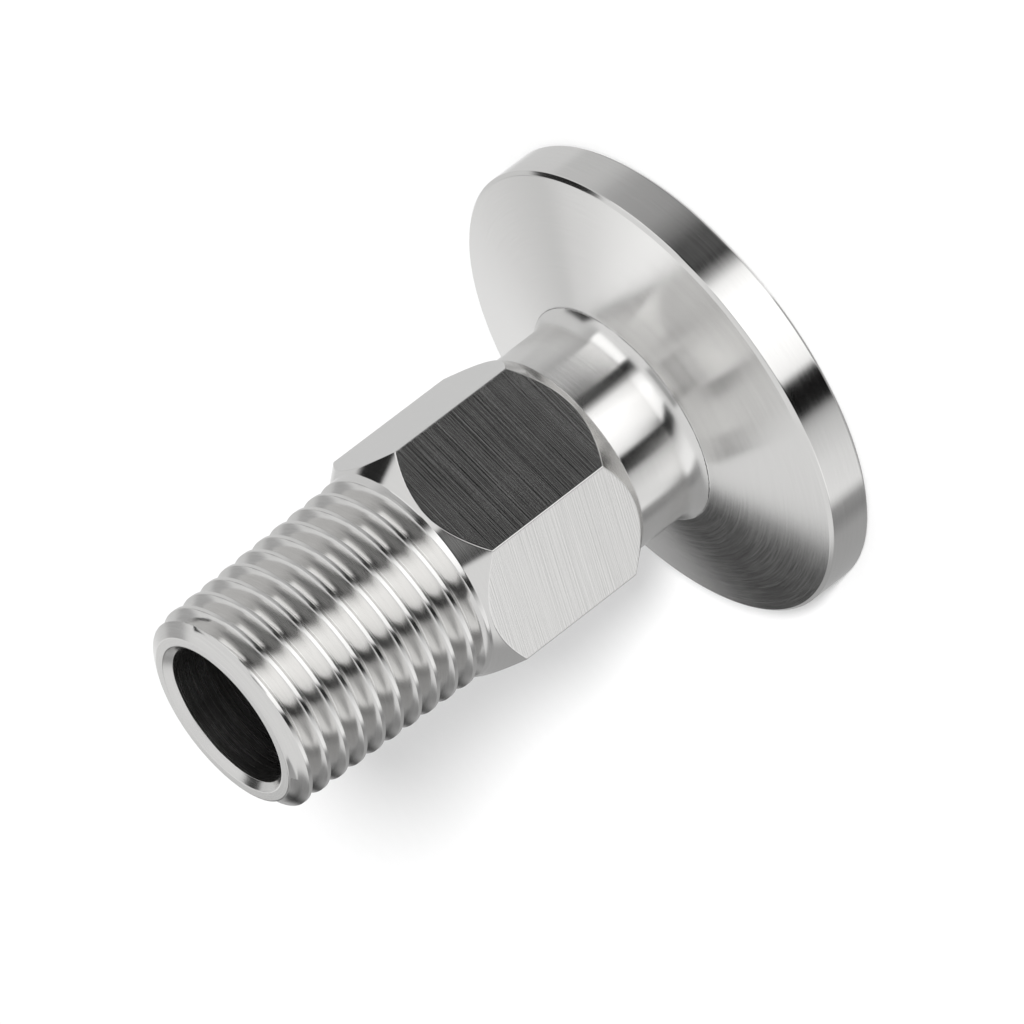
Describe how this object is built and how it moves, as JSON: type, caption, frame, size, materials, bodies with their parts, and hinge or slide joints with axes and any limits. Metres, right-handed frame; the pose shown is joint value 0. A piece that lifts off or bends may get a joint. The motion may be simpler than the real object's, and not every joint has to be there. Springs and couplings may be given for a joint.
{
  "type": "vacuum flange threaded adapter",
  "caption": "One-piece metal adapter from a round vacuum clamp flange, through a neck and a wrench hexagon, to a tapered male pipe thread, with a straight gas bore.",
  "frame": {"origin": "centre of the flange's sealing face, the plane that the seal is clamped against and that the adapter stands on", "axes": "+Z along the turning axis, towards the end of the male thread; +X square to one flat of the hexagon"},
  "size_m": [0.03, 0.03, 0.0356],
  "materials": {
    "stainless": "bright turned stainless steel, with fine lines round the axis and fine milled lines across the flats"
  },
  "bodies": {
    "root": {"adapter_body": "stainless"}
  },
  "joints": []
}
